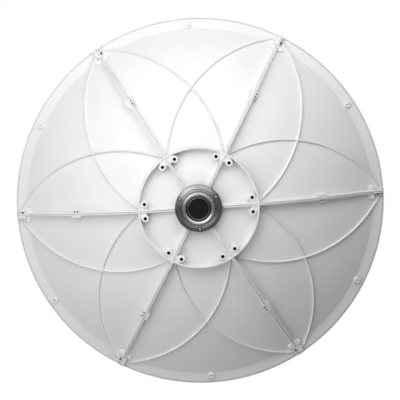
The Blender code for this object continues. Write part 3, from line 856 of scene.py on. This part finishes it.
def petal_arc():
    """One curved rib, from the hub ring beside a rib to the rim end of the next rib."""
    sector = math.tau / RIB_COUNT
    hub_end = polar(RING_OUTER_RADIUS + PETAL_HUB_CLEARANCE, PETAL_HUB_ANGLE)
    middle = polar(PETAL_CROSSING_RADIUS, sector / 2.0)
    rim_end = polar(PETAL_RIM_RADIUS, sector - PETAL_RIM_ANGLE)
    centre = circle_through(hub_end, middle, rim_end)
    radius = (hub_end - centre).length
    first = math.atan2(hub_end.y - centre.y, hub_end.x - centre.x)
    last = math.atan2(rim_end.y - centre.y, rim_end.x - centre.x)
    stations = []
    for row in range(PETAL_STATIONS + 1):
        share = row / PETAL_STATIONS
        outward = polar(1.0, first + (last - first) * share)
        point = centre + outward * radius
        ease = math.sin(min((1.0 - share) / PETAL_END_TAPER, 1.0) * math.pi / 2.0)
        height = PETAL_END_HEIGHT + (PETAL_HEIGHT - PETAL_END_HEIGHT) * ease
        stations.append((point, outward, PETAL_WIDTH / 2.0, back_surface(point.length) - height))
    return stations


def build_petal_ribs(paint):
    """In each sector two mirrored arcs cross, with a small round knob where they meet."""
    stations = petal_arc()
    mirror_line = polar(1.0, math.pi / RIB_COUNT)
    mirrored = []
    for point, outward, half, crest in stations:
        reflected = mirror_line * (2.0 * point.dot(mirror_line)) - point
        direction = mirror_line * (2.0 * outward.dot(mirror_line)) - outward
        mirrored.append((reflected, direction, half, crest))
    crossing = polar(PETAL_CROSSING_RADIUS, math.pi / RIB_COUNT)
    knob_top = shell_back(PETAL_CROSSING_RADIUS) - KNOB_HEIGHT
    knob_middle = (KNOB_RADIUS - PETAL_EDGE, knob_top + PETAL_EDGE)
    top = [(0.0, knob_top)] + arc(knob_middle, PETAL_EDGE, -90.0, 0.0)
    knob = post(crossing, top, filleted_foot(KNOB_RADIUS, PETAL_FILLET), BOSS_STEPS // 2)
    shapes = [
        ridge(stations, PETAL_EDGE, PETAL_FILLET),
        ridge(mirrored, PETAL_EDGE, PETAL_FILLET),
        knob,
    ]
    put_around("petal_ribs", finished("petal_ribs_fine", shapes), [paint])


def build_rim_bosses(paint, recess_shade):
    """Small bosses on the flange, midway between the ribs."""
    centre = Vector((RIM_BOSS_CIRCLE_RADIUS, 0.0))
    shape = boss(
        centre,
        RIM_BOSS_RADIUS,
        RIM_BOSS_EDGE,
        RIM_BOSS_HOLE_RADIUS,
        RIM_BOSS_HOLE_DEPTH,
        RIM_BOSS_TOP_DEPTH,
        BOSS_STEPS,
    )
    mesh = finished("rim_boss_fine", [shape])
    put_around("rim_boss", mesh, [paint, recess_shade], RIB_PITCH / 2.0)


def lug_top(radius):
    """Depth of a rib's crest on the rim, which slopes down at its outer end."""
    past = max(radius - (LUG_END_RADIUS - LUG_SLOPE_LENGTH), 0.0) / LUG_SLOPE_LENGTH
    return back_surface(radius) - RIB_END_HEIGHT + LUG_SLOPE_DROP * past


def build_rim_lugs(paint, recess_shade):
    """The end of each rib on the rim: a block, a pocketed shelf and a round-ended bar across."""
    slope_start = LUG_END_RADIUS - LUG_SLOPE_LENGTH
    rib_radii = (
        LUG_START_RADIUS,
        SHELL_RADIUS,
        LUG_BLOCK_RADIUS,
        BAND_RADIUS,
        slope_start,
        LUG_END_RADIUS,
    )
    rib = rib_piece([(radius, lug_top(radius)) for radius in rib_radii])
    side_block = []
    for radius in (LUG_BLOCK_RADIUS, BAND_RADIUS, slope_start, LUG_END_RADIUS):
        side_block.append((radius, lug_top(radius) + CLIP_SINK, LUG_BLOCK_REACH))
    notch = pocket_cutters((LUG_NOTCH_RADIUS,), LUG_BLOCK_REACH, NOTCH_RADIUS, lug_top)
    ledge = []
    for radius in (LUG_SHELF_RADIUS, BAND_RADIUS, slope_start, LUG_END_RADIUS):
        ledge.append((radius, lug_top(radius) + LUG_SHELF_SINK, -LUG_SHELF_REACH))
    pockets = pocket_cutters(LUG_POCKET_RADII, -POCKET_OFFSET, POCKET_RADIUS, lug_top)
    shapes = [rib, drilled(shelf(side_block, SHELF_EDGE), notch), drilled(shelf(ledge, SHELF_EDGE), pockets)]

    bar = []
    bar_crest = back_surface(BAR_CIRCLE_RADIUS) - BAR_HEIGHT
    for hand in (-1.0, 0.0, 1.0):
        point = Vector((BAR_CIRCLE_RADIUS, hand * BAR_HALF_LENGTH))
        bar.append((point, Vector((1.0, 0.0)), BAR_HALF_WIDTH, bar_crest))
        if hand:
            end_top = bar_crest - BAR_END_RISE
            end_middle = (BAR_HALF_WIDTH - BAR_EDGE, end_top + BAR_EDGE)
            top = [(0.0, end_top)] + arc(end_middle, BAR_EDGE, -90.0, 0.0)
            foot = filleted_foot(BAR_HALF_WIDTH, PETAL_FILLET)
            shapes.append(post(point, top, foot, BOSS_STEPS))
    shapes.append(ridge(bar, BAR_EDGE, PETAL_FILLET))
    mesh = finished("rim_lug_fine", shapes)
    # Only the lug pockets' floors are painted near black: painted shade.
    paint_pockets(mesh, LUG_POCKET_RADII, POCKET_RADIUS / 2.0)
    put_around("rim_lug", mesh, [paint, recess_shade])


def build_feed_flange(aluminium, dark):
    """Coned metal flange on the hub, with a ring groove and three screw pockets."""
    seat_depth = shell_back(SEAT_RADIUS)
    slope = (FLANGE_EDGE_DEPTH - FLANGE_CREST_DEPTH) / (FLANGE_RADIUS - FLANGE_CREST_RADIUS)
    inside, floor, outside = [
        (radius, FLANGE_CREST_DEPTH + slope * (radius - FLANGE_CREST_RADIUS))
        for radius in FLANGE_RING_RADII
    ]
    flange = rounded([
        (BORE_RADIUS, seat_depth, 0.0),
        (FLANGE_RADIUS, seat_depth, 0.0),
        (FLANGE_RADIUS, FLANGE_EDGE_DEPTH, FLANGE_OUTER_EDGE),
        (*outside, FLANGE_RING_EDGE),
        (floor[0], floor[1] + FLANGE_RING_SINK, 0.0),
        (*inside, 0.0),
        (FLANGE_CREST_RADIUS, FLANGE_CREST_DEPTH, FLANGE_CREST_EDGE),
        (*FLANGE_SHOULDER, FLANGE_SHOULDER_EDGE),
        (FLANGE_GROOVE_RADIUS, FLANGE_GROOVE_DEPTH, FLANGE_GROOVE_EDGE),
        (BORE_RADIUS, FLANGE_GROOVE_DEPTH, 0.0),
    ])
    centres = [polar(SCREW_CIRCLE_RADIUS, math.radians(degrees)) for degrees in SCREW_ANGLES]
    pockets = [
        drill(centre, SCREW_POCKET_RADIUS, COLLAR_FACE_DEPTH, SCREW_POCKET_DEPTH)
        for centre in centres
    ]
    coned = finished("feed_flange_fine", [drilled(turned(flange), pockets)])
    # The screw pockets are painted near black: painted shade round the screws.
    paint_faces(coned, 1, near(centres, SCREW_POCKET_RADIUS + PAINT_MARGIN))
    put("feed_flange", coned, [aluminium, dark])


def build_feed_collar(steel, aluminium, shaded):
    """Collar round the port: a rounded bright lip, a funnel and a ledge painted darker as painted shade, and
    a narrow groove.
    """
    inner_middle = (COLLAR_CREST_RADIUS, COLLAR_FACE_DEPTH + COLLAR_INNER_ROUND)
    outer_middle = (COLLAR_CREST_RADIUS, COLLAR_FACE_DEPTH + COLLAR_OUTER_ROUND)
    collar = [
        (COLLAR_INNER_RADIUS, COLLAR_FRONT_DEPTH),
        (COLLAR_INNER_RADIUS, FUNNEL_END_DEPTH),
        (COLLAR_GROOVE_RADIUS, FUNNEL_END_DEPTH),
        (COLLAR_GROOVE_RADIUS, COLLAR_GROOVE_DEPTH),
        (FUNNEL_END_RADIUS, COLLAR_GROOVE_DEPTH),
    ]
    funnel = arc(inner_middle, COLLAR_INNER_ROUND, *COLLAR_INNER_ARC, 2 * ARC_STEPS)
    lip_start = funnel[0][0]
    collar += funnel
    collar += arc(outer_middle, COLLAR_OUTER_ROUND, *COLLAR_OUTER_ARC, 2 * ARC_STEPS)
    collar += [(BORE_RADIUS, FLANGE_GROOVE_DEPTH), (BORE_RADIUS, COLLAR_FRONT_DEPTH)]
    lip = finished("feed_collar_fine", [turned(collar)])
    # Painted shade: the funnel wall takes a near-black steel and the ledge inside it a mid-grey aluminium,
    # on one turned collar.
    paint_faces(lip, 2, lambda place: math.hypot(place.x, place.z) < lip_start)
    paint_faces(lip, 1, lambda place: math.hypot(place.x, place.z) < COLLAR_GROOVE_RADIUS)
    put("feed_collar", lip, [steel, aluminium, shaded])


def build_lock_ring(aluminium):
    """Ring that clamps the feed from the beam side."""
    ring_low, ring_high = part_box("feed_lock_ring")
    lock_ring = rounded([
        (BORE_RADIUS, ring_low.y, 0.0),
        (LOCK_RING_RADIUS, ring_low.y, LOCK_RING_EDGE / 2.0),
        (LOCK_RING_RADIUS, ring_high.y, LOCK_RING_EDGE),
        (BORE_RADIUS, ring_high.y, 0.0),
    ])
    mesh = finished("feed_lock_ring_fine", [turned(lock_ring)])
    put("feed_lock_ring", mesh, [aluminium])


def hexagon_radius(angle, half_width):
    """Distance from the centre of a hexagon to its edge in a direction."""
    sixth = math.tau / 6.0
    return half_width / math.cos((angle % sixth) - sixth / 2.0)


def build_screws(steel):
    """Round-headed screws with hexagon sockets, in the flange's pockets."""
    head_foot = SCREW_POCKET_DEPTH
    head_top = head_foot - SCREW_HEAD_HEIGHT
    edge_middle = (SCREW_HEAD_RADIUS - SCREW_HEAD_EDGE, head_top + SCREW_HEAD_EDGE)
    outer = [(0.0, head_foot), (SCREW_HEAD_RADIUS, head_foot)]
    outer += reversed(arc(edge_middle, SCREW_HEAD_EDGE, -90.0, 0.0))
    for index, degrees in enumerate(SCREW_ANGLES):
        centre = polar(SCREW_CIRCLE_RADIUS, math.radians(degrees))
        shape = bmesh.new()
        rings = level_rings(shape, centre, outer, SCREW_STEPS)
        for depth in (head_top, head_top + SOCKET_DEPTH):
            ring = []
            for step in range(SCREW_STEPS):
                angle = math.tau * step / SCREW_STEPS
                edge_point = centre + polar(hexagon_radius(angle, SOCKET_HALF_WIDTH), angle)
                ring.append(corner(shape, edge_point, depth))
            rings.append(ring)
        rings.append([corner(shape, centre, head_top + SOCKET_DEPTH + SOCKET_HALF_WIDTH / 2.0)])
        mesh = finished(f"feed_screw_{index + 1}_fine", [skin(shape, rings)])
        put(f"feed_screw_{index + 1}", mesh, [steel])


def build_feed(aluminium, black, cream):
    """Waveguide window, tube, dielectric cone and sub-reflector."""
    window_front = WINDOW_DEPTH + WINDOW_THICKNESS
    window = [
        (0.0, WINDOW_DEPTH),
        (WINDOW_RADIUS, WINDOW_DEPTH),
        (WINDOW_RADIUS, window_front),
        (0.0, window_front),
    ]
    disc = finished("waveguide_window_fine", [turned(window, wrap=False)])
    put("waveguide_window", disc, [black])

    tube_inner = TUBE_RADIUS - TUBE_WALL
    tube = rounded([
        (tube_inner, window_front, 0.0),
        (TUBE_RADIUS, window_front, 0.0),
        (TUBE_RADIUS, TUBE_END_DEPTH, TUBE_EDGE),
        (tube_inner, TUBE_END_DEPTH, 0.0),
    ])
    put("feed_tube", finished("feed_tube_fine", [turned(tube)]), [aluminium])

    cone = [
        (0.0, TUBE_END_DEPTH - CONE_TIP_LENGTH),
        (tube_inner, TUBE_END_DEPTH - CONE_PLUG_LENGTH),
        (tube_inner, TUBE_END_DEPTH),
        (TUBE_RADIUS, TUBE_END_DEPTH),
    ]
    cone_middle = (CONE_END_RADIUS - CONE_EDGE, CONE_END_DEPTH - CONE_EDGE)
    cone += arc(cone_middle, CONE_EDGE, *CONE_EDGE_ARC)
    cone.append((0.0, CONE_END_DEPTH))
    plug = finished("feed_cone_fine", [turned(cone, wrap=False)])
    put("feed_cone", plug, [cream])

    plate = [(0.0, CONE_END_DEPTH), (CONE_END_RADIUS, CONE_END_DEPTH)]
    corner_radius = PLATE_RADIUS - PLATE_CORNER
    near_corner = (corner_radius, CONE_END_DEPTH + PLATE_DISH + PLATE_CORNER)
    far_corner = (corner_radius, PLATE_FRONT_DEPTH - PLATE_EDGE - PLATE_CORNER)
    plate += arc(near_corner, PLATE_CORNER, -90.0, 0.0)
    plate += arc(far_corner, PLATE_CORNER, 0.0, 90.0)
    plate += [(CONE_END_RADIUS, PLATE_FRONT_DEPTH - PLATE_CROWN), (0.0, PLATE_FRONT_DEPTH)]
    reflector = finished("sub_reflector_fine", [turned(plate, wrap=False)])
    put("sub_reflector", reflector, [aluminium])


def only_seen(thing):
    """Let the camera see a backdrop that neither lights nor shades the antenna."""
    thing.visible_diffuse = False
    thing.visible_glossy = False
    thing.visible_transmission = False
    thing.visible_shadow = False


def build_studio():
    """A plain pale floor under a pale backdrop, both evenly white."""
    material = bpy.data.materials.new("pale_studio")
    material.use_nodes = True
    tree = material.node_tree
    tree.nodes.remove(tree.nodes["Principled BSDF"])
    glow = tree.nodes.new("ShaderNodeEmission")
    glow.inputs["Color"].default_value = (1.0, 1.0, 1.0, 1.0)
    glow.inputs["Strength"].default_value = 1.0
    tree.links.new(glow.outputs["Emission"], tree.nodes["Material Output"].inputs["Surface"])

    floor_shape = bmesh.new()
    bmesh.ops.create_circle(floor_shape, cap_ends=True, segments=64, radius=FLOOR_RADIUS)
    dome_shape = bmesh.new()
    bmesh.ops.create_uvsphere(dome_shape, u_segments=64, v_segments=32, radius=BACKDROP_RADIUS)
    for name, shape, height in (
        ("floor", floor_shape, FLOOR_HEIGHT),
        ("backdrop", dome_shape, BACKDROP_HEIGHT),
    ):
        mesh = bpy.data.meshes.new(name)
        shape.to_mesh(mesh)
        shape.free()
        mesh.materials.append(material)
        thing = bpy.data.objects.new(name, mesh)
        thing.location = (0.0, 0.0, height)
        bpy.context.scene.collection.objects.link(thing)
        only_seen(thing)


def softbox(name, place, size, power, shows):
    """A square soft light facing the hub; it may show only on matt paint or only in metal."""
    data = bpy.data.lights.new(name, "AREA")
    data.shape = "SQUARE"
    data.size = size
    data.energy = power
    lamp = bpy.data.objects.new(name, data)
    lamp.location = place
    lamp.rotation_euler = Vector(place).to_track_quat("Z", "Y").to_euler()
    lamp.visible_camera = False
    lamp.visible_glossy = shows != "matt"
    lamp.visible_diffuse = shows != "metal"
    bpy.context.scene.collection.objects.link(lamp)


def light_studio():
    """Soft lights on the ribbed side, one on the beam side, two for the metal, and an even room."""
    world = bpy.data.worlds.new("room")
    world.use_nodes = True
    shade = world.node_tree.nodes["Background"]
    shade.inputs["Color"].default_value = (1.0, 1.0, 1.0, 1.0)
    shade.inputs["Strength"].default_value = ROOM_LIGHT
    bpy.context.scene.world = world
    for name, place, size, power, shows in SOFTBOXES:
        softbox(name, place, size, power, shows)


def build_camera():
    """The photograph's viewpoint, a little above the dish axis and slightly rolled."""
    back = Vector((
        math.sin(CAMERA_AZIMUTH) * math.cos(CAMERA_ELEVATION),
        -math.cos(CAMERA_AZIMUTH) * math.cos(CAMERA_ELEVATION),
        math.sin(CAMERA_ELEVATION),
    ))
    level_right = (-back).cross(Vector((0.0, 0.0, 1.0))).normalized()
    level_up = level_right.cross(-back)
    right = level_right * math.cos(CAMERA_ROLL) + level_up * math.sin(CAMERA_ROLL)
    up = level_up * math.cos(CAMERA_ROLL) - level_right * math.sin(CAMERA_ROLL)
    data = bpy.data.cameras.new("camera")
    data.lens = CAMERA_LENS
    data.sensor_width = CAMERA_SENSOR
    camera = bpy.data.objects.new("camera", data)
    place = CAMERA_AIM + back * CAMERA_DISTANCE
    turn = Matrix((right, up, back)).transposed()
    camera.matrix_world = Matrix.Translation(place) @ turn.to_4x4()
    bpy.context.scene.collection.objects.link(camera)
    bpy.context.scene.camera = camera


white_paint = powder_coat()
hole_shade = hole_shade_metal()
metals = {name: turned_metal(name, *look) for name, look in TURNED_METALS.items()}
plastics = {name: moulded_plastic(name, *look) for name, look in PLASTICS.items()}

build_camera()
build_reflector(white_paint, plastics["groove_painted_shade"])
build_hub_ring(white_paint)
build_hub_spokes(white_paint, hole_shade)
build_radial_ribs(white_paint, hole_shade)
build_petal_ribs(white_paint)
build_rim_bosses(white_paint, hole_shade)
build_rim_lugs(white_paint, hole_shade)
build_feed_flange(metals["turned_aluminium"], hole_shade)
build_feed_collar(metals["bright_steel"], metals["turned_aluminium"], metals["shaded_steel"])
build_lock_ring(metals["turned_aluminium"])
build_screws(metals["screw_steel"])
build_feed(metals["pale_aluminium"], plastics["black_plastic"], plastics["cream_plastic"])
build_studio()
light_studio()
bpy.context.scene.view_settings.view_transform = "Standard"
